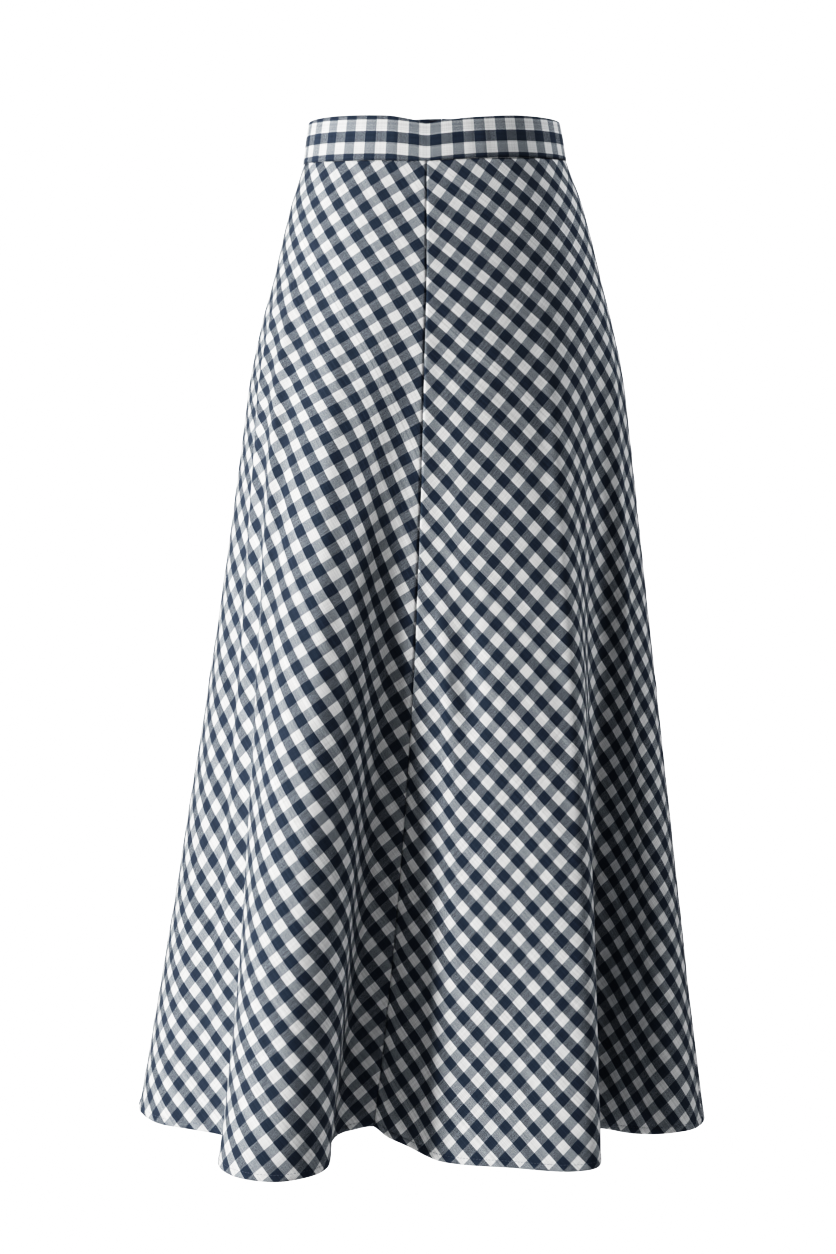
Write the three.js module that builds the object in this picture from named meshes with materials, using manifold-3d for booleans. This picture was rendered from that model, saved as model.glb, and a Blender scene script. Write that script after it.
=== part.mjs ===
// A long bias-cut skirt, worn shape with nobody in it: four gores on a straight-grain waistband,
// with a concealed zip at the centre back. Millimetres, +Z up, the front faces -Y.
// The origin is the middle of the waist opening, level with the band's top edge at the sides.

import * as THREE from 'three';
import * as BufferGeometryUtils from 'three/addons/utils/BufferGeometryUtils.js';
import Module from 'manifold-3d';

const wasm = await Module();
wasm.setup();

// ---- driving sizes ----

const HEM_DROP = 941; // from the origin down to the hem's level
const CLOTH_WALL = 2; // one panel, with its seam turnings and hem averaged in
const BAND_OUT = 0.5; // the folded band stands this far proud of the panels
const BAND_WALL = 2.6; // two layers and a stiffener
const SEAM_GAP = 0.3; // between any two pieces that are sewn together
const OVAL_POWER = 2.2; // body sections are ovals, a little squarer than ellipses
const FLARE_START = 150; // drop where the cloth leaves the hips and begins to fold
const EDGE_FADE = 300; // drop below which the tilt of the band's edge has died out

const PANEL_COLUMNS = 30;
const BAND_COLUMNS = 84;
const PANEL_DROPS = [38, 58, 78, 100, 125, 155, 190, 230, 280, 340, 410, 490, 575, 660, 750, 845, HEM_DROP];

const ZIP_TAPE_WIDTH = 24;
const ZIP_TAPE_WALL = 1;
const ZIP_LENGTH = 215; // from the band's top edge down the centre-back seam
const SLIDER_WIDTH = 5.4;
const SLIDER_HEIGHT = 9;
const SLIDER_THICK = 2;
const SLIDER_BELOW_EDGE = 8; // from the band's top edge to the slider's middle
const BAIL_WIDTH = 1.3;
const BAIL_BAR = 1; // thickness of the bail's legs and of its outer bar
const BAIL_GAP = 2.6; // clear height between the legs
const PULL_AXIS_OUT = 1.1; // from the slider's face to the pull's crossbar
const PULL_LENGTH = 24;
const PULL_WIDTH = 5;
const PULL_THICK = 0.9;
const PULL_EYE = 3.6; // length of the slot that the bail passes through
const PULL_LEAN = THREE.MathUtils.degToRad(5); // towards the cloth, as it hangs

// ---- body sections: half sizes of the oval at each drop ----
// seam: how far to the right of the middle the oval's own start lies, which the front seam follows

const SECTIONS = [
  { name: 'waist', drop: 0, left: 116.5, right: 115.5, front: 80, back: 84, seam: -6 },
  { name: 'band seam', drop: 38, left: 122, right: 122, front: 86, back: 92, seam: -6 },
  { name: 'upper hip', drop: 75, left: 133, right: 135, front: 97, back: 103, seam: -6 },
  { name: 'hip', drop: 130, left: 146, right: 150, front: 109, back: 116, seam: -6 },
  { name: 'full hip', drop: 190, left: 158, right: 162, front: 118, back: 124, seam: -6 },
  { name: 'thigh', drop: 260, left: 164, right: 170, front: 122, back: 128, seam: -5 },
  { name: 'hem', drop: HEM_DROP, left: 163, right: 178, front: 122, back: 128, seam: 13 },
];

// ---- the band's edges: height of the top and the bottom edge, round the body ----
// around: share of the way round from the centre-front seam, by the right side and the back

const BAND_EDGES = [
  { name: 'centre front dip', around: 0, top: -9.5, bottom: -44 },
  { name: 'right of the dip', around: 0.022, top: -7, bottom: -43 },
  { name: 'front right', around: 0.07, top: -3.5, bottom: -41 },
  { name: 'right front', around: 0.14, top: -1, bottom: -39.5 },
  { name: 'right side', around: 0.262, top: -2.5, bottom: -38 },
  { name: 'back right', around: 0.38, top: 4, bottom: -34 },
  { name: 'centre back', around: 0.5, top: 9, bottom: -29 },
  { name: 'back left', around: 0.62, top: 4, bottom: -34 },
  { name: 'left side', around: 0.742, top: -3, bottom: -41.5 },
  { name: 'left front', around: 0.87, top: -1, bottom: -42.5 },
  { name: 'front left', around: 0.94, top: -2, bottom: -43 },
  { name: 'left of the dip', around: 0.98, top: -6, bottom: -44 },
];

// ---- the folds where they reach the hem, seen from above, anticlockwise from the front seam ----
// each ridge or valley: where the cloth turns into it, its crest or floor, and where it turns out, as
// x, y and how far the hem rises above its level there;
// opens: 1 grows evenly from the hips to the hem, less shows higher up, more stays low

const HEM_FOLDS = [
  {
    name: 'front valley, right wall',
    enter: [-56, -112, 20],
    middle: [-44.5, -116, 12],
    leave: [-24, -126, 5],
    opens: 1.3,
  },
  {
    name: 'front right ridge',
    enter: [4, -146, -3],
    middle: [66.5, -170, -3],
    leave: [120.5, -184, -3],
    opens: 1.2,
  },
  {
    name: 'front right corner',
    enter: [143, -180, -1],
    middle: [149, -155, 1],
    leave: [140.5, -125, 5],
    opens: 1.1,
  },
  {
    name: 'right valley',
    enter: [134.5, -88, 7],
    middle: [151, -58, 5],
    leave: [184.5, -82, 6],
    opens: 0.9,
  },
  {
    name: 'right side ridge',
    enter: [209.5, -99, 10],
    middle: [235.5, -88, 11],
    leave: [251, -52, 10],
    opens: 1.15,
  },
  {
    name: 'right side',
    enter: [254, 5, 9],
    middle: [246, 62, 8],
    leave: [222, 122, 5],
    opens: 1.2,
  },
  {
    name: 'back right valley',
    enter: [187, 146, 2],
    middle: [152, 140, 6],
    leave: [124, 128, 8],
    opens: 1.1,
  },
  {
    name: 'back ridge, right',
    enter: [98, 146, 5],
    middle: [74, 176, 0],
    leave: [44, 184, 0],
    opens: 1.2,
  },
  {
    name: 'back valley',
    enter: [20, 170, 3],
    middle: [-4, 150, 9],
    leave: [-32, 150, 8],
    opens: 1.1,
  },
  {
    name: 'back ridge, left',
    enter: [-58, 172, 3],
    middle: [-90, 192, -2],
    leave: [-124, 182, 0],
    opens: 1.2,
  },
  {
    name: 'back left valley',
    enter: [-146, 148, 6],
    middle: [-168, 142, 8],
    leave: [-198, 158, 5],
    opens: 1,
  },
  {
    name: 'back left ridge',
    enter: [-232, 162, 2],
    middle: [-262, 128, 3],
    leave: [-278, 70, 8],
    opens: 1.2,
  },
  {
    name: 'left side',
    enter: [-278.5, -15, 11],
    middle: [-258.5, -55, 9],
    leave: [-226, -78, 9],
    opens: 1.2,
  },
  {
    name: 'left valley',
    enter: [-198, -93, 8],
    middle: [-181.5, -108, 7],
    leave: [-188.5, -135, 3],
    opens: 0.8,
  },
  {
    name: 'front left ridge',
    enter: [-194, -172, 0],
    middle: [-176.5, -205, -2],
    leave: [-141.5, -219, -3],
    opens: 1.1,
  },
  {
    name: 'front left corner',
    enter: [-111, -208, -1],
    middle: [-96, -184, 1],
    leave: [-94.5, -150, 6],
    opens: 1.2,
  },
  {
    name: 'front valley, left wall',
    enter: [-94, -128, 9],
    middle: [-87.5, -116, 14],
    leave: [-73.5, -111, 17],
    opens: 1.3,
  },
];

// ---- seams: share of the way round from the centre-front seam ----

const RIGHT_SEAM = 0.262;
const BACK_SEAM = 0.5;
const LEFT_SEAM = 0.742;

// ---- smooth curves through the tables ----

const blend = (a, b, t) => a + (b - a) * t;

// A cubic through the rows of a table, by its column `by`, that never overshoots a flat stretch.
function fromTable(rows, by, column, at) {
  const last = rows.length - 1;
  if (at <= rows[0][by]) return rows[0][column];
  if (at >= rows[last][by]) return rows[last][column];
  let i = 0;
  while (rows[i + 1][by] < at) i += 1;
  const slope = (k) => (rows[k + 1][column] - rows[k][column]) / (rows[k + 1][by] - rows[k][by]);
  const tangent = (k) => {
    if (k === 0) return slope(0);
    if (k === last) return slope(last - 1);
    return slope(k - 1) * slope(k) <= 0 ? 0 : (2 * slope(k - 1) * slope(k)) / (slope(k - 1) + slope(k));
  };
  const width = rows[i + 1][by] - rows[i][by];
  const t = (at - rows[i][by]) / width;
  const a = rows[i][column];
  const b = rows[i + 1][column];
  return a * (2 * t ** 3 - 3 * t ** 2 + 1) + tangent(i) * width * (t ** 3 - 2 * t ** 2 + t)
    + b * (-2 * t ** 3 + 3 * t ** 2) + tangent(i + 1) * width * (t ** 3 - t ** 2);
}

// A table of rows round the body, closed on itself so that it can be read anywhere.
function readRound(rows) {
  const closed = [-1, 0, 1].flatMap((turn) => rows.map((row) => ({ ...row, around: row.around + turn })));
  return (column, around) => fromTable(closed, 'around', column, around);
}

const bandEdge = readRound(BAND_EDGES);

// A closed line of points that can be read by its share of the way round.
function closedLine(points) {
  const lengths = [0];
  for (let i = 1; i <= points.length; i += 1) {
    lengths.push(lengths[i - 1] + points[i % points.length].distanceTo(points[i - 1]));
  }
  const total = lengths[points.length];
  const at = (around) => {
    const along = (((around % 1) + 1) % 1) * total;
    let low = 0;
    let high = points.length;
    while (high - low > 1) {
      const middle = (low + high) >> 1;
      if (lengths[middle] <= along) low = middle;
      else high = middle;
    }
    const t = (along - lengths[low]) / (lengths[low + 1] - lengths[low]);
    return points[low].clone().lerp(points[(low + 1) % points.length], t);
  };
  return { lengths, total, at };
}

// The hem's closed curve, and how soon the folds open at each place along it.
const KNOT_STEPS = 24;
const hemKnots = HEM_FOLDS.flatMap((fold) => [fold.enter, fold.middle, fold.leave]
  .map(([x, y, lift]) => ({ place: new THREE.Vector3(x, y, lift - HEM_DROP), opens: fold.opens })));
const hemCurve = new THREE.CatmullRomCurve3(hemKnots.map((knot) => knot.place), true, 'centripetal');
const hemLine = closedLine(hemCurve.getPoints(hemKnots.length * KNOT_STEPS).slice(0, -1));
const hemOpens = readRound(hemKnots.map((knot, i) => ({
  around: hemLine.lengths[i * KNOT_STEPS] / hemLine.total,
  opens: knot.opens,
})));

// The oval of the body at one drop, read from the centre-front seam.
const ovals = new Map();
function oval(drop) {
  if (!ovals.has(drop)) {
    const half = {};
    for (const side of ['left', 'right', 'front', 'back']) half[side] = fromTable(SECTIONS, 'drop', side, drop);
    const start = -Math.PI / 2 + fromTable(SECTIONS, 'drop', 'seam', drop) / half.left;
    const points = [];
    const steps = 720;
    for (let i = 0; i < steps; i += 1) {
      const angle = start + (i / steps) * 2 * Math.PI;
      const c = Math.cos(angle);
      const s = Math.sin(angle);
      const x = Math.sign(c) * Math.abs(c) ** (2 / OVAL_POWER) * (c < 0 ? half.left : half.right);
      const y = Math.sign(s) * Math.abs(s) ** (2 / OVAL_POWER) * (s < 0 ? half.front : half.back);
      points.push(new THREE.Vector3(x, y, 0));
    }
    ovals.set(drop, closedLine(points));
  }
  return ovals.get(drop);
}

// ---- the cloth's surface: a point by its share of the way round and its drop ----

function surface(around, drop) {
  const hem = hemLine.at(around);
  const opened = Math.max(0, (drop - FLARE_START) / (HEM_DROP - FLARE_START)) ** hemOpens('opens', around);
  const point = oval(drop).at(around).lerp(hem, opened);
  const lift = (hem.z + HEM_DROP) * (drop / HEM_DROP);
  const tilt = bandEdge('bottom', around) + SECTIONS[1].drop;
  const kept = THREE.MathUtils.smoothstep(EDGE_FADE - drop, 0, EDGE_FADE - SECTIONS[1].drop);
  return point.setZ(-drop + tilt * kept + lift);
}

function outward(around, drop) {
  const across = surface(around + 0.003, drop).sub(surface(around - 0.003, drop));
  const down = surface(around, drop + 3).sub(surface(around, drop - 3));
  return down.cross(across).normalize();
}

const clothAt = (around, drop, out) => surface(around, drop).addScaledVector(outward(around, drop), out);

// A point of the band: up is 0 on its bottom edge and 1 on its top edge.
function bandAt(around, up, out) {
  const drop = SECTIONS[1].drop * (1 - up);
  const z = blend(bandEdge('bottom', around), bandEdge('top', around), up);
  return clothAt(around, drop, out).setZ(z);
}

function roundAt(drop) {
  let length = 0;
  for (let i = 0; i < 200; i += 1) length += surface(i / 200, drop).distanceTo(surface((i + 1) / 200, drop));
  return length;
}

// ---- solids ----

// A closed solid from a grid of points on each face of a wall.
function wall(name, material, columns, rows, outer, inner) {
  const points = [];
  for (const face of [outer, inner]) {
    for (let j = 0; j <= rows; j += 1) {
      for (let i = 0; i <= columns; i += 1) points.push(face(i / columns, j));
    }
  }
  const size = (columns + 1) * (rows + 1);
  const front = (i, j) => j * (columns + 1) + i;
  const back = (i, j) => size + front(i, j);
  const index = [];
  const quad = (a, b, c, d) => index.push(a, b, c, a, c, d);
  for (let j = 0; j < rows; j += 1) {
    for (let i = 0; i < columns; i += 1) {
      quad(front(i, j), front(i, j + 1), front(i + 1, j + 1), front(i + 1, j));
      quad(back(i, j), back(i + 1, j), back(i + 1, j + 1), back(i, j + 1));
    }
    quad(front(0, j), back(0, j), back(0, j + 1), front(0, j + 1));
    quad(front(columns, j), front(columns, j + 1), back(columns, j + 1), back(columns, j));
  }
  for (let i = 0; i < columns; i += 1) {
    quad(front(i, 0), front(i + 1, 0), back(i + 1, 0), back(i, 0));
    quad(front(i, rows), back(i, rows), back(i + 1, rows), front(i + 1, rows));
  }
  const geometry = new THREE.BufferGeometry();
  geometry.setAttribute('position', new THREE.Float32BufferAttribute(points.flatMap((p) => [p.x, p.y, p.z]), 3));
  geometry.setIndex(index);
  geometry.computeVertexNormals();
  const mesh = new THREE.Mesh(geometry, material);
  mesh.name = name;
  return mesh;
}

function toSolid(geometry) {
  const bare = geometry.clone();
  bare.deleteAttribute('normal');
  bare.deleteAttribute('uv');
  const merged = BufferGeometryUtils.mergeVertices(bare, 1e-5);
  return new wasm.Manifold(new wasm.Mesh({
    numProp: 3,
    vertProperties: new Float32Array(merged.attributes.position.array),
    triVerts: new Uint32Array(merged.index.array),
  }));
}

function toGeometry(solid) {
  const mesh = solid.getMesh();
  const geometry = new THREE.BufferGeometry();
  geometry.setAttribute('position', new THREE.BufferAttribute(new Float32Array(mesh.vertProperties), 3));
  geometry.setIndex(new THREE.BufferAttribute(new Uint32Array(mesh.triVerts), 1));
  geometry.computeVertexNormals();
  return geometry;
}

function box(width, depth, height, x, y, z) {
  return toSolid(new THREE.BoxGeometry(width, depth, height).translate(x, y, z));
}

// A plate of an outline in X and Z, centred on Y = 0.
function plate(shape, thick) {
  const geometry = new THREE.ExtrudeGeometry(shape, { depth: thick, bevelEnabled: false, curveSegments: 5 });
  return toSolid(geometry.translate(0, 0, -thick / 2).rotateX(Math.PI / 2));
}

// ---- materials ----

const cloth = new THREE.MeshStandardMaterial({ color: 0x8d949f, roughness: 0.9, metalness: 0 });
const bandCloth = new THREE.MeshStandardMaterial({ color: 0x7f8794, roughness: 0.9, metalness: 0 });
const tapeCloth = new THREE.MeshStandardMaterial({ color: 0x1b2334, roughness: 0.9, metalness: 0 });
const enamel = new THREE.MeshStandardMaterial({ color: 0x1b2334, roughness: 0.45, metalness: 0.3 });

const skirt = new THREE.Group();

// ---- the four gores ----

const GORES = [
  { name: 'front_right', from: 0, to: RIGHT_SEAM },
  { name: 'back_right', from: RIGHT_SEAM, to: BACK_SEAM },
  { name: 'back_left', from: BACK_SEAM, to: LEFT_SEAM },
  { name: 'front_left', from: LEFT_SEAM, to: 1 },
];

const halfGapAt = PANEL_DROPS.map((drop) => SEAM_GAP / 2 / roundAt(drop));

function gorePoint(gore, across, row, out) {
  const drop = PANEL_DROPS[row];
  const around = blend(gore.from + halfGapAt[row], gore.to - halfGapAt[row], across);
  const point = clothAt(around, drop, out);
  if (row === 0) point.z = bandEdge('bottom', around) - SEAM_GAP;
  if (row === PANEL_DROPS.length - 1) point.z = surface(around, drop).z;
  return point;
}

for (const gore of GORES) {
  skirt.add(wall(
    gore.name,
    cloth,
    PANEL_COLUMNS,
    PANEL_DROPS.length - 1,
    (across, row) => gorePoint(gore, across, row, 0),
    (across, row) => gorePoint(gore, across, row, -CLOTH_WALL),
  ));
}

// ---- the waistband: one strip round the body, its ends meeting at the centre back ----

const bandHalfGap = SEAM_GAP / 2 / roundAt(0);
const bandRows = 3;

function bandPoint(across, row, out) {
  const around = blend(BACK_SEAM + bandHalfGap, BACK_SEAM + 1 - bandHalfGap, across);
  return bandAt(around, 1 - row / bandRows, out);
}

skirt.add(wall(
  'waistband',
  bandCloth,
  BAND_COLUMNS,
  bandRows,
  (across, row) => bandPoint(across, row, BAND_OUT),
  (across, row) => bandPoint(across, row, BAND_OUT - BAND_WALL),
));

// ---- the zip: a tape inside the centre-back seam, a slider and its pull outside ----

const TAPE_OUT = BAND_OUT - BAND_WALL - SEAM_GAP;
const tapeRows = 12;

function tapePoint(across, row, out) {
  const drop = blend(1, ZIP_LENGTH, row / tapeRows);
  const around = BACK_SEAM + ((across - 0.5) * ZIP_TAPE_WIDTH) / roundAt(drop);
  return clothAt(around, drop, out);
}

skirt.add(wall(
  'zip_tape',
  tapeCloth,
  4,
  tapeRows,
  (across, row) => tapePoint(across, row, TAPE_OUT),
  (across, row) => tapePoint(across, row, TAPE_OUT - ZIP_TAPE_WALL),
));

// The slider lies on the band, so its group is turned to the band's slope there.
const sliderUp = 1 - SLIDER_BELOW_EDGE / (bandEdge('top', BACK_SEAM) - bandEdge('bottom', BACK_SEAM));
const sliderSeat = bandAt(BACK_SEAM, sliderUp, BAND_OUT + SEAM_GAP);
const bandBelow = bandAt(BACK_SEAM, sliderUp - 0.4, BAND_OUT + SEAM_GAP);
const slope = Math.atan2(bandBelow.y - sliderSeat.y, sliderSeat.z - bandBelow.z);

const zip = new THREE.Group();
zip.position.copy(sliderSeat);
zip.rotation.x = slope;
skirt.add(zip);

const sliderOutline = new THREE.Shape();
sliderOutline.moveTo(-SLIDER_WIDTH / 2, SLIDER_HEIGHT / 2 - 2);
sliderOutline.quadraticCurveTo(-SLIDER_WIDTH / 2, SLIDER_HEIGHT / 2, 0, SLIDER_HEIGHT / 2);
sliderOutline.quadraticCurveTo(SLIDER_WIDTH / 2, SLIDER_HEIGHT / 2, SLIDER_WIDTH / 2, SLIDER_HEIGHT / 2 - 2);
sliderOutline.lineTo(SLIDER_WIDTH / 2 - 0.8, -SLIDER_HEIGHT / 2);
sliderOutline.lineTo(-SLIDER_WIDTH / 2 + 0.8, -SLIDER_HEIGHT / 2);
sliderOutline.closePath();

const bailOut = 2 * PULL_AXIS_OUT + BAIL_BAR;
const bailHeight = BAIL_GAP + 2 * BAIL_BAR;
const legY = SLIDER_THICK + bailOut / 2 - 0.25;
const legZ = (BAIL_GAP + BAIL_BAR) / 2;
const sliderSolid = plate(sliderOutline, SLIDER_THICK).translate([0, SLIDER_THICK / 2, 0])
  .add(box(BAIL_WIDTH, bailOut + 0.5, BAIL_BAR, 0, legY, legZ))
  .add(box(BAIL_WIDTH, bailOut + 0.5, BAIL_BAR, 0, legY, -legZ))
  .add(box(BAIL_WIDTH, BAIL_BAR, bailHeight, 0, SLIDER_THICK + bailOut - BAIL_BAR / 2, 0));
const slider = new THREE.Mesh(toGeometry(sliderSolid), enamel);
slider.name = 'zip_slider';
zip.add(slider);

// The pull hangs from its crossbar, under the bail's outer bar: a drop shape with a slot for the bail.
const pullOutline = new THREE.Shape();
const tabHalf = PULL_WIDTH / 2;
pullOutline.moveTo(-1.9, 0.5);
pullOutline.lineTo(-1.9, -PULL_EYE - 1.2);
pullOutline.quadraticCurveTo(-1.5, -PULL_LENGTH * 0.45, -tabHalf, -PULL_LENGTH + 3.4);
pullOutline.quadraticCurveTo(-tabHalf, -PULL_LENGTH, 0, -PULL_LENGTH);
pullOutline.quadraticCurveTo(tabHalf, -PULL_LENGTH, tabHalf, -PULL_LENGTH + 3.4);
pullOutline.quadraticCurveTo(1.5, -PULL_LENGTH * 0.45, 1.9, -PULL_EYE - 1.2);
pullOutline.lineTo(1.9, 0.5);
pullOutline.closePath();
const slot = new THREE.Path();
slot.moveTo(-1.1, -0.5);
slot.lineTo(1.1, -0.5);
slot.lineTo(1.1, -0.5 - PULL_EYE);
slot.lineTo(-1.1, -0.5 - PULL_EYE);
slot.closePath();
pullOutline.holes.push(slot);

const pull = new THREE.Mesh(toGeometry(plate(pullOutline, PULL_THICK)), enamel);
pull.name = 'zip_pull';
pull.position.set(0, SLIDER_THICK + PULL_AXIS_OUT, 0);
pull.rotation.x = -PULL_LEAN;
zip.add(pull);

export default skirt;
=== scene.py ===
# The looks of a long bias-cut gingham skirt, worn shape with nobody in it.
# Metres in Blender; the cutting tables below are in millimetres, as the solids' are.
# +Z up, the front faces -Y, the origin is the middle of the waist opening.

import math

import bmesh
import bpy
import numpy as np
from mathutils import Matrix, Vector


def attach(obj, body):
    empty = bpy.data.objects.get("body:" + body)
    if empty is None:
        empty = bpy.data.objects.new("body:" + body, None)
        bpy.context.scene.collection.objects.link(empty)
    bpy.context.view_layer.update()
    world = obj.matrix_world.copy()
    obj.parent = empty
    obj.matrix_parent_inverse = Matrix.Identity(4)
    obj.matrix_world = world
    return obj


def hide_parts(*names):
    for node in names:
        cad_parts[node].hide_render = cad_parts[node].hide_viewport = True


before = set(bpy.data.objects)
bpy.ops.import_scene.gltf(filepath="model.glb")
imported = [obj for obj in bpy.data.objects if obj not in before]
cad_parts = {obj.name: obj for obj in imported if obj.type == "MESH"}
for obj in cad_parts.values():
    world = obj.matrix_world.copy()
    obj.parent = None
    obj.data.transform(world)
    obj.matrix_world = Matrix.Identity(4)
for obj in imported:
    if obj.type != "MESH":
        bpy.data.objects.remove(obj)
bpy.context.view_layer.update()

MM = 0.001

# ---- sizes of the solids, in millimetres ----

HEM_DROP = 941
BAND_DROP = 38
BAND_OUT = 0.5
BAND_WALL = 2.6
SEAM_GAP = 0.3
OVAL_POWER = 2.2
FLARE_START = 150
EDGE_FADE = 300
ZIP_TAPE_WIDTH = 24
ZIP_LENGTH = 215

# body sections: drop, half sizes to the left, right, front and back, and the front seam's offset
SECTIONS = [
    (0, 116.5, 115.5, 80, 84, -6),
    (38, 122, 122, 86, 92, -6),
    (75, 133, 135, 97, 103, -6),
    (130, 146, 150, 109, 116, -6),
    (190, 158, 162, 118, 124, -6),
    (260, 164, 170, 122, 128, -5),
    (HEM_DROP, 163, 178, 122, 128, 13),
]

# the band's edges: share of the way round from the centre-front seam, top, bottom
BAND_EDGES = [
    (0, -9.5, -44),
    (0.022, -7, -43),
    (0.07, -3.5, -41),
    (0.14, -1, -39.5),
    (0.262, -2.5, -38),
    (0.38, 4, -34),
    (0.5, 9, -29),
    (0.62, 4, -34),
    (0.742, -3, -41.5),
    (0.87, -1, -42.5),
    (0.94, -2, -43),
    (0.98, -6, -44),
]

# the folds at the hem, anticlockwise from above: enter, middle, leave (x, y, how far the hem rises
# above its level), and how soon each one opens
HEM_FOLDS = [
    ((-56, -112, 20), (-44.5, -116, 12), (-24, -126, 5), 1.3),  # front valley, right wall
    ((4, -146, -3), (66.5, -170, -3), (120.5, -184, -3), 1.2),  # front right ridge
    ((143, -180, -1), (149, -155, 1), (140.5, -125, 5), 1.1),  # front right corner
    ((134.5, -88, 7), (151, -58, 5), (184.5, -82, 6), 0.9),  # right valley
    ((209.5, -99, 10), (235.5, -88, 11), (251, -52, 10), 1.15),  # right side ridge
    ((254, 5, 9), (246, 62, 8), (222, 122, 5), 1.2),  # right side
    ((187, 146, 2), (152, 140, 6), (124, 128, 8), 1.1),  # back right valley
    ((98, 146, 5), (74, 176, 0), (44, 184, 0), 1.2),  # back ridge, right
    ((20, 170, 3), (-4, 150, 9), (-32, 150, 8), 1.1),  # back valley
    ((-58, 172, 3), (-90, 192, -2), (-124, 182, 0), 1.2),  # back ridge, left
    ((-146, 148, 6), (-168, 142, 8), (-198, 158, 5), 1),  # back left valley
    ((-232, 162, 2), (-262, 128, 3), (-278, 70, 8), 1.2),  # back left ridge
    ((-278.5, -15, 11), (-258.5, -55, 9), (-226, -78, 9), 1.2),  # left side
    ((-198, -93, 8), (-181.5, -108, 7), (-188.5, -135, 3), 0.8),  # left valley
    ((-194, -172, 0), (-176.5, -205, -2), (-141.5, -219, -3), 1.1),  # front left ridge
    ((-111, -208, -1), (-96, -184, 1), (-94.5, -150, 6), 1.2),  # front left corner
    ((-94, -128, 9), (-87.5, -116, 14), (-73.5, -111, 17), 1.3),  # front valley, left wall
]

# the gores: their seams' share of the way round, the seam that the grain is laid from (0 where the gore
# starts, 1 where it ends), how much the bias-cut cloth has eased sideways and lengthways, where the checks
# fall, and how far the grain turns clockwise from the true bias: drop, degrees
RIGHT_SEAM = 0.262
BACK_SEAM = 0.5
LEFT_SEAM = 0.742
GORES = {
    "front_right": {
        "start": 0.0, "end": RIGHT_SEAM, "laid_from": 0, "eased": (0.955, 1.005), "shift": (-5.9, -4.8),
        "turns": [(0, 0.5), (180, 0.5), (330, 2), (450, 3), (HEM_DROP, 2.5)],
    },
    "back_right": {
        "start": RIGHT_SEAM, "end": BACK_SEAM, "laid_from": 1, "eased": (0.98, 1.0), "shift": (3.0, 8.0),
        "turns": [(0, 0), (HEM_DROP, 0)],
    },
    "back_left": {
        "start": BACK_SEAM, "end": LEFT_SEAM, "laid_from": 0, "eased": (0.98, 1.0), "shift": (11.0, 5.0),
        "turns": [(0, 0), (HEM_DROP, 0)],
    },
    "front_left": {
        "start": LEFT_SEAM, "end": 1.0, "laid_from": 1, "eased": (1.02, 0.99), "shift": (7.8, -4.9),
        "turns": [(0, 3), (180, 7), (305, 12), (430, 9.5), (600, 5), (740, 1), (HEM_DROP, -1)],
    },
}

# ---- sizes of the cloth's finer form, in millimetres ----

CLOTH = 0.8  # the shell's own thickness
CHECK = 19.8  # one navy and one white stripe
THREAD = 0.62  # from one thread to the next
SEWN_GAP = 0.04  # between two edges that are sewn together
HEM_DEPTH = 6.0  # width of the narrow turned hem
BAND_HEEL = 0.5  # how far the band's sewn edge lies above its seam
STITCH_PITCH = 3.0
STITCH_LENGTH = 2.1
STITCH_THICK = 0.36
STITCH_PROUD = 0.12  # how far a stitch's middle lies off the cloth
STITCH_CLEAR = 2.5  # no stitch lies closer to a seam
STITCH_AIM = 0.0006  # share of the way round to the points that its direction is taken from

# along a seam: its edge turns in, its turnings press the cloth out, and the sewing draws it up
SEAM_TURN = 1.3
SEAM_TURN_WIDTH = 0.95
SEAM_PRESS = 0.45
SEAM_PRESS_END = 13
SEAM_PRESS_FADE = 6
SEAM_GATHER = 0.38
SEAM_GATHER_WIDTH = 9.0
SEAM_GATHER_STEP = 13.0

# the turned hem: it lies double up to a lip above its stitches, pinched along them and slightly roped
HEM_LIP = 1.2
HEM_FADE = 1.6
HEM_DOUBLE = 0.7  # how much thicker it is
HEM_OUT = 0.45  # how much of that stands out
HEM_PINCH = 0.35
HEM_PINCH_WIDTH = 0.9
HEM_ROPE = 0.3
HEM_ROUNDING = 0.5  # how far its edge is rounded off, and over what height
HEM_ROUNDING_RUN = 1.2

# broad, faint unevenness: its depth, where it begins and fades in, and the steps of its waves
DRAPE_DEPTH = 1.1
DRAPE_START = 120
DRAPE_FADE = 300
DRAPE_WAVES_ROUND = 46
DRAPE_WAVE_DROP = 70
DRAPE_SWAY = 2.2
DRAPE_SWAY_DROP = 160
DRAPE_LEAN = 9

GORE_TUCK = 0.9  # the gores' top edges lie this far in, under the band
GORE_TUCK_RUN = 3

# creases: gore, the seam they are measured from, millimetres from it, drop, run, half width,
# slant in degrees from straight down towards the right, depth (a ridge is above 0)
CREASES = [
    ("front_right", "start", 30, 500, 160, 9, 8, 2.8),
    ("front_right", "start", 52, 505, 160, 11, 6, -4.8),
    ("front_right", "start", 40, 508, 34, 5, 44, -2.6),
    ("front_right", "start", 58, 640, 150, 20, 4, -1.6),
    ("front_left", "end", 60, 330, 150, 26, -14, -1.6),
    ("front_left", "end", 34, 610, 120, 16, -6, -1.4),
    ("front_left", "start", 70, 560, 170, 24, 10, 1.5),
    ("back_right", "end", 48, 470, 110, 14, -8, -2.2),
    ("back_right", "start", 90, 620, 140, 20, 9, 1.6),
    ("back_left", "start", 52, 540, 96, 12, 7, -2.4),
    ("back_left", "start", 38, 400, 120, 20, -10, -1.4),
    ("back_left", "end", 84, 660, 130, 18, -7, 1.5),
]
CREASE_END = 1.4  # how much sooner a crease ends than its run's own bell curve


# ---- smooth curves through the tables ----


OVAL_POINTS = 720
GIRTH_POINTS = 400
NEAR_SHARE = 0.003  # steps to the points that a surface's direction is taken from
NEAR_DROP = 3


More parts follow.
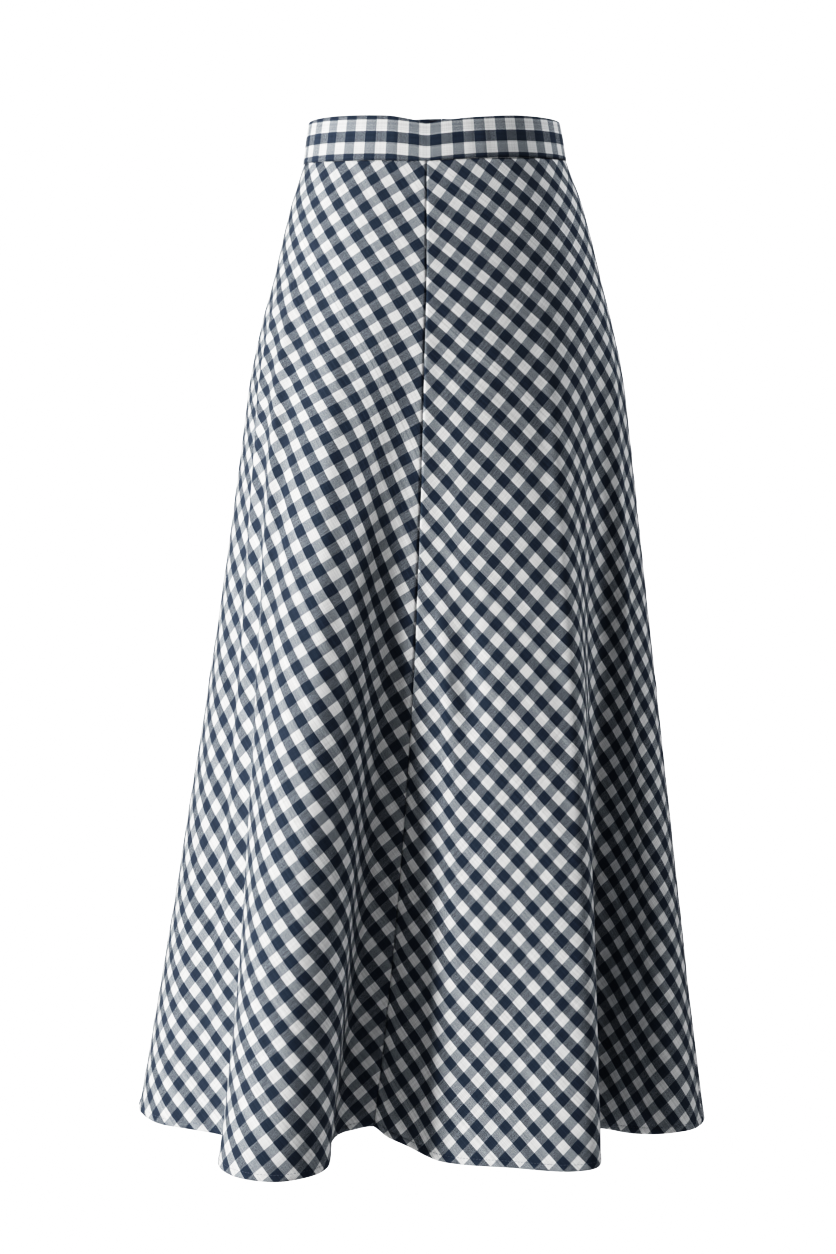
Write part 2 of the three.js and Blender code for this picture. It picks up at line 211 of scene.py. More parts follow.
def from_table(rows, column, at):
    """A cubic through a table's column, by its first column, that never overshoots a flat stretch."""
    by = np.array([row[0] for row in rows], float)
    value = np.array([row[column] for row in rows], float)
    slope = np.diff(value) / np.diff(by)
    before, after = slope[:-1], slope[1:]
    same = before * after > 0
    total = np.where(same, before + after, 1)
    inner = np.where(same, 2 * before * after / total, 0)
    tangent = np.concatenate([slope[:1], inner, slope[-1:]])
    at = np.clip(np.asarray(at, float), by[0], by[-1])
    i = np.clip(np.searchsorted(by, at, side="left") - 1, 0, len(by) - 2)
    width = by[i + 1] - by[i]
    t = (at - by[i]) / width
    return (
        value[i] * (2 * t**3 - 3 * t**2 + 1)
        + tangent[i] * width * (t**3 - 2 * t**2 + t)
        + value[i + 1] * (3 * t**2 - 2 * t**3)
        + tangent[i + 1] * width * (t**3 - t**2)
    )


def read_round(rows):
    """A table of rows round the body, closed on itself so that it can be read anywhere."""
    return [(row[0] + turn, *row[1:]) for turn in (-1, 0, 1) for row in rows]


EDGE_ROWS = read_round(BAND_EDGES)


def band_top(around):
    return from_table(EDGE_ROWS, 1, around)


def band_bottom(around):
    return from_table(EDGE_ROWS, 2, around)


def smooth(t):
    t = np.clip(t, 0, 1)
    return t * t * (3 - 2 * t)


class ClosedLine:
    """A closed line of points that can be read by its share of the way round."""

    def __init__(self, points):
        self.points = np.vstack([points, points[:1]])
        steps = np.linalg.norm(np.diff(self.points, axis=0), axis=1)
        self.lengths = np.concatenate([[0], np.cumsum(steps)])

    def at(self, around):
        along = np.mod(around, 1) * self.lengths[-1]
        columns = [np.interp(along, self.lengths, column) for column in self.points.T]
        return np.stack(columns, -1)


KNOT_STEPS = 24


def hem_line():
    """The hem's closed curve, and a table of how soon the folds open along it."""
    knots = np.array([(x, y, lift - HEM_DROP) for fold in HEM_FOLDS for x, y, lift in fold[:3]], float)
    opens = [fold[3] for fold in HEM_FOLDS for _ in fold[:3]]
    before, after, last = np.roll(knots, 1, 0), np.roll(knots, -1, 0), np.roll(knots, -2, 0)
    spans = ((before, knots), (knots, after), (after, last))
    root = [np.linalg.norm(b - a, axis=1)[:, None] ** 0.5 for a, b in spans]
    leave = ((knots - before) / root[0] - (after - before) / (root[0] + root[1])) * root[1] + after - knots
    enter = after - knots + ((last - after) / root[2] - (last - knots) / (root[1] + root[2])) * root[1]
    t = (np.arange(KNOT_STEPS) / KNOT_STEPS)[None, :, None]
    curve = (
        knots[:, None] * (2 * t**3 - 3 * t**2 + 1)
        + leave[:, None] * (t**3 - 2 * t**2 + t)
        + after[:, None] * (3 * t**2 - 2 * t**3)
        + enter[:, None] * (t**3 - t**2)
    )
    line = ClosedLine(curve.reshape(-1, 3))
    shares = line.lengths[:-1:KNOT_STEPS] / line.lengths[-1]
    return line, read_round(list(zip(shares, opens)))


HEM, HEM_OPENS = hem_line()
OVALS = {}


def oval(drop):
    if drop not in OVALS:
        left, right, front, back, seam = (float(from_table(SECTIONS, k, drop)) for k in range(1, 6))
        angle = -math.pi / 2 + seam / left + np.arange(OVAL_POINTS) / OVAL_POINTS * 2 * math.pi
        c, s = np.cos(angle), np.sin(angle)
        x = np.sign(c) * np.abs(c) ** (2 / OVAL_POWER) * np.where(c < 0, left, right)
        y = np.sign(s) * np.abs(s) ** (2 / OVAL_POWER) * np.where(s < 0, front, back)
        OVALS[drop] = ClosedLine(np.stack([x, y], -1))
    return OVALS[drop]


# ---- the cloth's surface: points by their share of the way round and one drop ----


def surface(around, drop):
    hem = HEM.at(around)
    opened = max(0.0, (drop - FLARE_START) / (HEM_DROP - FLARE_START)) ** from_table(HEM_OPENS, 1, around)
    xy = oval(drop).at(around) * (1 - opened[:, None]) + hem[:, :2] * opened[:, None]
    kept = smooth((EDGE_FADE - drop) / (EDGE_FADE - BAND_DROP))
    lift = (hem[:, 2] + HEM_DROP) * (drop / HEM_DROP)
    z = -drop + (band_bottom(around) + BAND_DROP) * kept + lift
    return np.column_stack([xy, z])


def outward(around, drop):
    across = surface(around + NEAR_SHARE, drop) - surface(around - NEAR_SHARE, drop)
    down = surface(around, drop + NEAR_DROP) - surface(around, drop - NEAR_DROP)
    normal = np.cross(down, across)
    return normal / np.linalg.norm(normal, axis=1, keepdims=True)


def round_at(drop):
    points = surface(np.arange(GIRTH_POINTS + 1) / GIRTH_POINTS, drop)
    return np.linalg.norm(np.diff(points, axis=0), axis=1).sum()


# ---- the flat pattern: the gores laid out as one fan, cut on the bias ----

PATTERN_DROPS = np.linspace(0, HEM_DROP, 190)
PATTERN_POINTS = 600


def make_pattern():
    """The fan's angle for the whole way round, and its radius at each drop, from the worn girths."""
    shares = np.arange(PATTERN_POINTS) / PATTERN_POINTS
    rings = np.array([surface(shares, drop) for drop in PATTERN_DROPS])
    closed = np.concatenate([rings, rings[:, :1]], 1)
    length = np.linalg.norm(np.diff(closed, axis=1), axis=2).sum(1)
    down = np.linalg.norm(np.diff(rings, axis=0), axis=2).mean(1)
    slant = np.concatenate([[0], np.cumsum(down)])
    quarter = len(PATTERN_DROPS) // 4
    fan = (length[-1] - length[quarter]) / (slant[-1] - slant[quarter])
    radius = length[-1] / fan - (slant[-1] - slant)
    return fan, radius


FAN, RADIUS = make_pattern()


def fan_place(gore, share, radius):
    """A place on the fan, as the cloth was before it eased."""
    row = GORES[gore]
    angle = (share - 0.5) * FAN * (row["end"] - row["start"])
    sideways, lengthways = row["eased"]
    return np.column_stack([radius * np.sin(angle) / sideways, -radius * np.cos(angle) / lengthways])


def turned(places, angle):
    c, s = np.cos(angle), np.sin(angle)
    return np.column_stack([places[:, 0] * c - places[:, 1] * s, places[:, 0] * s + places[:, 1] * c])


def grain_line(gore):
    """Down the seam that a gore's grain is laid from: the grain's turn, and the seam's own place on it."""
    row = GORES[gore]
    turn = np.radians(from_table(row["turns"], 1, PATTERN_DROPS))
    seam = fan_place(gore, row["laid_from"], RADIUS)
    steps = turned(np.diff(seam, axis=0), (turn[1:] + turn[:-1]) / 2)
    return turn, np.vstack([[0, 0], np.cumsum(steps, axis=0)])


GRAIN = {gore: grain_line(gore) for gore in GORES}


def flat_place(gore, share, drop):
    """Where a point of a gore lies on the straight grain, in millimetres along both thread systems."""
    row = GORES[gore]
    turns, line = GRAIN[gore]
    radius = np.interp(drop, PATTERN_DROPS, RADIUS)
    turn = np.interp(drop, PATTERN_DROPS, turns)
    seam = [np.interp(drop, PATTERN_DROPS, column) for column in line.T]
    here = fan_place(gore, share, radius) - fan_place(gore, np.array([row["laid_from"]]), radius)
    across, up = (turned(here, turn) + seam).T
    first = (across + up) / math.sqrt(2) + row["shift"][0]
    second = (across - up) / math.sqrt(2) + row["shift"][1]
    return np.column_stack([first, second])


# ---- the finer form of the cloth ----


WANDER_KNOTS = 400


def wander(seed):
    """Uneven hand-like values from -1 to 1 along a line: call it with a place in steps of one knot."""
    values = np.random.default_rng(seed).uniform(-1.0, 1.0, WANDER_KNOTS)

    def at(place):
        place = np.mod(place, WANDER_KNOTS)
        i = np.floor(place).astype(int)
        t = smooth(place - i)
        return values[i] * (1 - t) + values[(i + 1) % WANDER_KNOTS] * t

    return at


def seam_seed(around):
    """One seed for each seam, so that the gores on both sides of it gather alike."""
    return 100 + round(around * 1000) % 1000


def seam_form(distance, drop, seed):
    """How far the cloth stands out near a seam: the edge turns in, and the sewing draws it up."""
    edge = -SEAM_TURN * np.exp(-((distance / SEAM_TURN_WIDTH) ** 2))
    pressed = SEAM_PRESS * smooth((SEAM_PRESS_END - distance) / SEAM_PRESS_FADE)
    step = SEAM_GATHER_STEP
    gather = wander(seed)(drop / step) + 0.6 * wander(seed + 50)(drop / (step / 2))
    return edge + pressed + SEAM_GATHER * gather * np.exp(-((distance / SEAM_GATHER_WIDTH) ** 2))


def crease_form(gore, from_start, from_end, drop):
    """How far the creases of a gore push the cloth out, or in where it is below 0."""
    total = np.zeros_like(from_start)
    for name, seam, place, middle, run, half_width, slant, depth in CREASES:
        if name != gore:
            continue
        across = from_start - place if seam == "start" else place - from_end
        turn = math.radians(slant)
        along = (drop - middle) * math.cos(turn) + across * math.sin(turn)
        aside = across * math.cos(turn) - (drop - middle) * math.sin(turn)
        ends = np.exp(-((along / (run / 2)) ** 2) * CREASE_END)
        total += depth * np.exp(-((aside / half_width) ** 2)) * ends
    return total


def drape_form(around, drop):
    """Broad, faint unevenness, so that no stretch of cloth is a perfect surface."""
    place_round = around * DRAPE_WAVES_ROUND + DRAPE_SWAY * np.sin(drop / DRAPE_SWAY_DROP)
    wave = wander(7)(place_round) * wander(8)(drop / DRAPE_WAVE_DROP + around * DRAPE_LEAN)
    fade = smooth((drop - DRAPE_START) / DRAPE_FADE)
    return DRAPE_DEPTH * fade * wave


def hem_double(drop):
    """1 where the turned hem lies double, and 0 above it."""
    return smooth((HEM_DEPTH + HEM_LIP - (HEM_DROP - drop)) / HEM_FADE)


def hem_form(place, drop):
    """How far the turned hem stands out, with its pinched stitches, its rope and its rounded edge."""
    above = HEM_DROP - drop
    pinch = -HEM_PINCH * np.exp(-(((above - HEM_DEPTH) / HEM_PINCH_WIDTH) ** 2))
    dimple = 0.75 + 0.25 * np.cos(place / STITCH_PITCH * 2 * math.pi)
    rope = HEM_ROPE * wander(21)(place / 9.0 + above / 6.0) * smooth((HEM_DEPTH + 4 - above) / 5)
    edge = -HEM_ROUNDING * smooth((HEM_ROUNDING_RUN - above) / HEM_ROUNDING_RUN)
    return HEM_OUT * hem_double(drop) + pinch * dimple + rope + edge


# a gore's columns and rows are close together along its seams, its top and its hem
SEAM_STEPS = np.array([0, 0.7, 1.6, 2.7, 4.2, 6.5])
GORE_COLUMNS = 96
TOP_STEPS = np.array([0, 0.8, 2, 4])
HEM_STEPS = np.array([12, 10, 8.6, 7.6, 6.8, 6, 5.2, 4.4, 3.2, 2, 1, 0.4, 0])
PLAIN_ROWS = np.linspace(BAND_DROP + 7, HEM_DROP - 15, 196)
GORE_ROWS = np.concatenate([BAND_DROP + TOP_STEPS, PLAIN_ROWS, HEM_DROP - HEM_STEPS])


def gore_shares(width):
    """Where a gore's columns lie across it, from 0 at one seam to 1 at the other."""
    edge = (SEAM_STEPS + SEWN_GAP / 2) / width
    middle = np.linspace(edge[-1], 1 - edge[-1], GORE_COLUMNS - 2 * len(SEAM_STEPS) + 3)
    return np.concatenate([edge[:-1], middle, 1 - edge[-2::-1]])


def gore_row(gore, drop):
    """One row of a gore: its outer points, its inner points, and its places on the flat pattern."""
    row = GORES[gore]
    whole = round_at(drop)
    width = whole * (row["end"] - row["start"])
    share = gore_shares(width)
    around = row["start"] + share * (row["end"] - row["start"])
    from_start = share * width
    from_end = width - from_start
    out = seam_form(from_start, drop, seam_seed(row["start"]))
    out += seam_form(from_end, drop, seam_seed(row["end"]))
    out += crease_form(gore, from_start, from_end, drop)
    out += drape_form(around, drop)
    out += hem_form(around * whole, drop)
    out -= GORE_TUCK * smooth((BAND_DROP + GORE_TUCK_RUN - drop) / GORE_TUCK_RUN)
    normal = outward(around, drop)
    base = surface(around, drop)
    if drop == BAND_DROP:
        base[:, 2] += BAND_HEEL - SEWN_GAP
    thick = CLOTH + HEM_DOUBLE * hem_double(drop)
    outer = base + normal * out[:, None]
    inner = outer - normal * thick
    if drop == HEM_DROP:
        outer[:, 2] = inner[:, 2] = base[:, 2]
    return outer, inner, flat_place(gore, share, drop)


def add_piece(name, points, faces, finish, places=None):
    """A smooth mesh in the scene; places, where given, are its points' own on the flat cloth."""
    mesh = bpy.data.meshes.new(name)
    mesh.from_pydata(points, [], faces)
    mesh.validate()
    if places is not None:
        corner = np.empty(len(mesh.loops), np.int32)
        mesh.loops.foreach_get("vertex_index", corner)
        layer = mesh.uv_layers.new(name="cloth")
        layer.data.foreach_set("uv", places[corner].astype(np.float32).ravel())
    mesh.polygons.foreach_set("use_smooth", np.ones(len(mesh.polygons), bool))
    mesh.materials.append(finish)
    piece = bpy.data.objects.new(name, mesh)
    bpy.context.scene.collection.objects.link(piece)
    return piece


def closed_shell(name, outer, inner, flat, finish):
    """A closed mesh from the points of its two faces, both (rows, columns, 3), and their flat places."""
    rows, columns = outer.shape[:2]
    size = rows * columns
    points = np.concatenate([outer.reshape(-1, 3), inner.reshape(-1, 3)]) * MM
    places = np.concatenate([flat.reshape(-1, 2), flat.reshape(-1, 2)]) * MM
    at = np.arange(size).reshape(rows, columns)
    a, b, c, d = at[:-1, :-1], at[1:, :-1], at[1:, 1:], at[:-1, 1:]
    front = np.stack([a, b, c, d], -1).reshape(-1, 4)
    back = front[:, ::-1] + size
    rims = []
    for line in (at[:, 0][::-1], at[:, -1], at[0], at[-1][::-1]):
        rims.append(np.column_stack([line[:-1], line[1:], line[1:] + size, line[:-1] + size]))
    faces = np.concatenate([front, back, *rims])
    return add_piece(name, points.tolist(), faces.tolist(), finish, places)


def make_gore(gore, finish):
    rows = [gore_row(gore, float(drop)) for drop in GORE_ROWS]
    outer, inner, places = (np.array(part) for part in zip(*rows))
    return closed_shell(f"cloth_{gore}", outer, inner, places, finish)


# ---- the waistband: one strip folded along its top edge ----

BAND_TURNS = 420
BAND_LENGTH = 662
BAND_FACE_POINTS = 15
BAND_FOLD_POINTS = 9
BAND_FOLD = BAND_WALL / 2
BAND_BULGE = 0.35
BAND_HEEL_DRAW = 0.45  # how far its sewn edge is drawn in, over a small share of its height
BAND_HEEL_SHARE = 0.04
BAND_PUFFS = [(31, 0.25, 90), (32, 0.2, 41)]  # its unevenness: seed, depth, steps round
BAND_ROW_STRETCH = 21.0 / CHECK  # its rows of checks have stretched a little in the pressing
BAND_COLUMN_STRETCH = 20.2 / CHECK
BAND_ROW_PLACE = 6.2  # a navy row ends this far above the band's middle
BAND_COLUMN_PLACE = -6.7  # a white column starts this far to the right of the front seam


def band_profile():
    """Up the front, over the fold and down the back: (kind, share of the face's height, how far out) on a
    face, and (kind, angle round the fold, 0) on the fold."""
    face = np.linspace(0, 1, BAND_FACE_POINTS)
    front = [("face", t, BAND_OUT) for t in face]
    turn = [("fold", angle, 0) for angle in np.linspace(0, math.pi, BAND_FOLD_POINTS)[1:-1]]
    back = [("face", t, BAND_OUT - BAND_WALL) for t in face[::-1]]
    return front + turn + back


def band_ring(around):
    """All points of the band's section at each place around it, and their places on the strip."""
    top, bottom = band_top(around), band_bottom(around)
    middle = (top + bottom) / 2
    low, high = bottom + BAND_HEEL, top - BAND_FOLD
    puff = sum(depth * wander(seed)(around * steps) for seed, depth, steps in BAND_PUFFS)
    points, places = [], []
    fold_place = high - middle
    for kind, t, out in band_profile():
        if kind == "face":
            z = low + (high - low) * t
            up = (z - bottom) / (top - bottom)
            heel = BAND_HEEL_DRAW * math.exp(-t / BAND_HEEL_SHARE)
            bulge = BAND_BULGE * math.sin(math.pi * t) ** 0.7 - heel
            side = 1 if out > 0 else -1
            if side > 0:
                height = z - middle
            else:
                height = fold_place + math.pi * BAND_FOLD + (high - z)
            out = np.full_like(around, out + side * bulge) + (puff * math.sin(math.pi * t))
        else:
            z = high + BAND_FOLD * math.sin(t)
            up = (z - bottom) / (top - bottom)
            out = np.full_like(around, BAND_OUT - BAND_FOLD * (1 - math.cos(t)))
            height = fold_place + t * BAND_FOLD
        drop = float(BAND_DROP * (1 - up.mean()))
        point = surface(around, drop) + outward(around, drop) * out[:, None]
        point[:, 2] = z
        points.append(point)
        places.append(height)
    return np.array(points), np.array(places)


def make_band(finish):
    gap = SEAM_GAP / 2 / round_at(0)
    around = np.linspace(BACK_SEAM + gap, BACK_SEAM + 1 - gap, BAND_TURNS + 1)
    points, heights = band_ring(around)
    along = (around - 1) * BAND_LENGTH
    rows, columns = heights.shape
    size = rows * columns
    at = np.arange(size).reshape(rows, columns)
    faces = []
    for j in range(rows):
        k = (j + 1) % rows
        a, b, c, d = at[j, :-1], at[j, 1:], at[k, 1:], at[k, :-1]
        faces.append(np.column_stack([a, b, c, d]))
    faces = np.concatenate(faces).tolist()
    faces.append(at[:, 0].tolist())
    faces.append(at[::-1, -1].tolist())
    across = (heights - BAND_ROW_PLACE) / BAND_ROW_STRETCH
    lengthways = np.broadcast_to((along - BAND_COLUMN_PLACE) / BAND_COLUMN_STRETCH, heights.shape)
    places = np.stack([across, lengthways], -1).reshape(-1, 2) * MM
    return add_piece("cloth_waistband", (points.reshape(-1, 3) * MM).tolist(), faces, finish, places)


# ---- small parts ----


BEAD_SIDES = 6
# a stitch's sections: place along it, share of its full thickness
BEAD_SECTIONS = [(-0.5, 0.3), (-0.36, 0.85), (0, 1.0), (0.36, 0.85), (0.5, 0.3)]


def bead(centre, along, up, length, thick):
    """A small rounded stitch: a spindle from one end to the other, half sunk where it lies."""
    along = np.asarray(along) / np.linalg.norm(along)
    side = np.cross(up, along)
    side /= np.linalg.norm(side)
    up = np.cross(along, side)
    sides = BEAD_SIDES
    points = []
    for place, fat in BEAD_SECTIONS:
        for k in range(sides):
            angle = 2 * math.pi * k / sides
            ring = side * math.cos(angle) + up * math.sin(angle)
            points.append(centre + along * place * length + ring * fat * thick / 2)
    faces = []
    last = len(BEAD_SECTIONS) - 1
    for j in range(last):
        for k in range(sides):
            n = (k + 1) % sides
            faces.append((j * sides + k, j * sides + n, (j + 1) * sides + n, (j + 1) * sides + k))
    faces.append(tuple(range(sides))[::-1])
    faces.append(tuple(last * sides + k for k in range(sides)))
    return points, faces


def make_hem_stitches(finish):
    """The hem's line of stitches, seen from outside, all the way round."""
    drop = HEM_DROP - HEM_DEPTH
    total = round_at(drop)
    count = int(total / STITCH_PITCH)
    around = (np.arange(count) + 0.5) / count
    base, normal = surface(around, drop), outward(around, drop)
    ahead = surface(around + STITCH_AIM, drop) - surface(around - STITCH_AIM, drop)
    lift = hem_form(around * total, drop) + drape_form(around, drop)
    vertices, faces = [], []
    for i in range(count):
        nearest = min(abs(around[i] - seam) for seam in (0, RIGHT_SEAM, BACK_SEAM, LEFT_SEAM, 1))
        if nearest * total < STITCH_CLEAR:
            continue
        centre = (base[i] + normal[i] * (lift[i] + STITCH_PROUD)) * MM
        points, quads = bead(centre, ahead[i], normal[i], STITCH_LENGTH * MM, STITCH_THICK * MM)
        faces.extend(tuple(v + len(vertices) for v in quad) for quad in quads)
        vertices.extend(points)
    return add_piece("hem_stitches", [tuple(v) for v in vertices], faces, finish)


TAPE_TOP = 1
TAPE_ROWS = 44
TAPE_COLUMNS = 13
TAPE_PLAIN = (0.42, 0.58)  # the middle, without ribs, where the coil lies
TAPE_RIB = 0.12
TAPE_RIB_TURN = 40  # radians of the ribs' wave across the whole tape
TAPE_OUTER = 0.2  # how far its two faces lie in from the band's back
TAPE_INNER = 0.8


def tape_point(across, drop, out):
    """A point on the zip's tape: its share of the tape's width, its drop, and how far out it lies."""
    around = np.array([BACK_SEAM + (across - 0.5) * ZIP_TAPE_WIDTH / round_at(drop)])
    return (surface(around, drop) + outward(around, drop) * out)[0]


def make_zip_tape(finish):
    """The zip's two tapes as one strip, with fine ribs on both sides of the coil."""
    shares = np.linspace(0, 1, TAPE_COLUMNS)
    low, high = TAPE_PLAIN
    ribs = [0.0 if low < share < high else TAPE_RIB * math.cos(share * TAPE_RIB_TURN) for share in shares]
    line = list(zip(shares, ribs))
    face = BAND_OUT - BAND_WALL - SEAM_GAP
    outer, inner, places = [], [], []
    for drop in np.linspace(TAPE_TOP, ZIP_LENGTH, TAPE_ROWS):
        outer.append([tape_point(share, float(drop), face - TAPE_OUTER + rib) for share, rib in line])
        inner.append([tape_point(share, float(drop), face - TAPE_INNER + rib) for share, rib in line])
        places.append([(share * ZIP_TAPE_WIDTH, drop) for share in shares])
    return closed_shell("zip_tape_cloth", np.array(outer), np.array(inner), np.array(places), finish)


COIL_TOP = 9.0
COIL_STOP = 5  # above the tape's lower end
COIL_PITCH = 1.35
COIL_HALF = 2.4  # half a turn's width
COIL_THICK = 0.42
COIL_SIDES = 5
COIL_ARC = np.linspace(0, math.pi, 8)
COIL_IN = 0.75  # it starts this far in from the band's back
COIL_FOOT = 0.15  # how far a turn's feet, and then its crown above them, stand off that
COIL_CROWN = 0.75
COIL_SLANT = 0.35  # share of the pitch that a turn runs on from its middle to either foot


def make_zip_coil(finish):
    """The coil's turns, on the tape's inner face, from just under the band's edge to the stop."""
    sides = COIL_SIDES
    vertices, faces = [], []
    drop = COIL_TOP
    while drop < ZIP_LENGTH - COIL_STOP:
        centre = tape_point(0.5, drop, BAND_OUT - BAND_WALL - SEAM_GAP - COIL_IN)
        side = tape_point(0.6, drop, 0) - tape_point(0.4, drop, 0)
        side /= np.linalg.norm(side)
        down = tape_point(0.5, drop + 2, 0) - tape_point(0.5, drop - 2, 0)
        down /= np.linalg.norm(down)
        inward = np.cross(side, down)
        if inward[1] > 0:
            inward = -inward
        start = len(vertices)
        for angle in COIL_ARC:
            off = COIL_FOOT + COIL_CROWN * math.sin(angle)
            spot = centre - side * COIL_HALF * math.cos(angle) + inward * off
            spot = spot + down * COIL_PITCH * COIL_SLANT * math.cos(angle)
            away = inward * math.sin(angle) - side * math.cos(angle)
            for k in range(sides):
                turn = 2 * math.pi * k / sides
                ring = down * math.cos(turn) + away * math.sin(turn)
                vertices.append((spot + ring * COIL_THICK / 2) * MM)
        for j in range(len(COIL_ARC) - 1):
            for k in range(sides):
                n = (k + 1) % sides
                low, high = start + j * sides, start + (j + 1) * sides
                faces.append((low + k, high + k, high + n, low + n))
        faces.append(tuple(start + k for k in range(sides)))
        faces.append(tuple(start + (len(COIL_ARC) - 1) * sides + k for k in reversed(range(sides))))
        drop += COIL_PITCH
    return add_piece("zip_coil", [tuple(v) for v in vertices], faces, finish)


SEEN_EDGE = math.radians(35)  # a sharper edge than this is rounded
CREASED_EDGE = math.radians(50)  # a sharper one than this isn't shaded smooth


def bevelled(node, name, width, finish):
    """The node's own shape with its edges rounded, as a cast and enamelled part has them."""
    piece = bpy.data.objects.new(name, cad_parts[node].data.copy())
    bpy.context.scene.collection.objects.link(piece)
    mesh = bmesh.new()
    mesh.from_mesh(piece.data)
    bmesh.ops.remove_doubles(mesh, verts=mesh.verts, dist=1e-6)
    bmesh.ops.dissolve_limit(mesh, angle_limit=math.radians(2), verts=mesh.verts, edges=mesh.edges)
    sharp = [edge for edge in mesh.edges if edge.is_manifold and edge.calc_face_angle(0) > SEEN_EDGE]
    bmesh.ops.bevel(
        mesh, geom=sharp, offset=width, offset_type="OFFSET", segments=2, profile=0.6,
        affect="EDGES", clamp_overlap=True,
    )
    bmesh.ops.recalc_face_normals(mesh, faces=mesh.faces)
    mesh.to_mesh(piece.data)
    mesh.free()
    piece.data.materials.clear()
    piece.data.materials.append(finish)
    piece.data.polygons.foreach_set("use_smooth", np.ones(len(piece.data.polygons), bool))
    piece.data.set_sharp_from_angle(angle=CREASED_EDGE)
    return piece


# ---- materials ----


class Nodes:
    """Shorthand for building a material's node tree."""

    def __init__(self, name):
        self.material = bpy.data.materials.new(name)
        self.material.use_nodes = True
        self.tree = self.material.node_tree
        self.shader = self.tree.nodes["Principled BSDF"]

    def add(self, kind, **settings):
        node = self.tree.nodes.new(kind)
        for key, value in settings.items():
            setattr(node, key, value)
        return node

    def wire(self, source, target):
        if isinstance(source, bpy.types.NodeSocket):
            self.tree.links.new(source, target)
        else:
            target.default_value = source

    def math(self, operation, *values):
        node = self.add("ShaderNodeMath", operation=operation)
        for value, socket in zip(values, node.inputs):
            self.wire(value, socket)
        return node.outputs[0]

    def mix(self, factor, first, second):
        node = self.add("ShaderNodeMix", data_type="RGBA")
        self.wire(factor, node.inputs["Factor"])
        self.wire(first, node.inputs[6])
        self.wire(second, node.inputs[7])
        return node.outputs[2]

    def noise(self, vector, scale, detail=2.0):
        node = self.add("ShaderNodeTexNoise")
        self.wire(vector, node.inputs["Vector"])
        node.inputs["Scale"].default_value = scale
        node.inputs["Detail"].default_value = detail
        return node.outputs["Fac"]

    def bump(self, height, distance, strength=1.0, under=None):
        node = self.add("ShaderNodeBump")
        self.wire(height, node.inputs["Height"])
        node.inputs["Distance"].default_value = distance
        node.inputs["Strength"].default_value = strength
        if under is not None:
            self.wire(under, node.inputs["Normal"])
        return node.outputs["Normal"]


WHITE_YARN = (0.85, 0.85, 0.85, 1)
NAVY_YARN = (0.060, 0.080, 0.114, 1)
CROSSING_PAINTED_SHADE = (0.60, 0.63, 0.66, 1)  # where the colours cross, painted shade between the threads darkens the squares, with a painted blue cast of light reflected off the navy threads
CROWNS = (1.13, 0.3)  # how high each thread system stands: the first one lies on top more often
CROSSING_RISE = 0.55  # how far a thread rises or dips where it crosses another
SHADE_LOW = 0.80  # the darkest thread's share of its yarn's colour
SHADE_SPREAD = 0.34
TAPE_RIB_STEP = 0.0007  # metres
TAPE_PICK_STEP = 0.0005


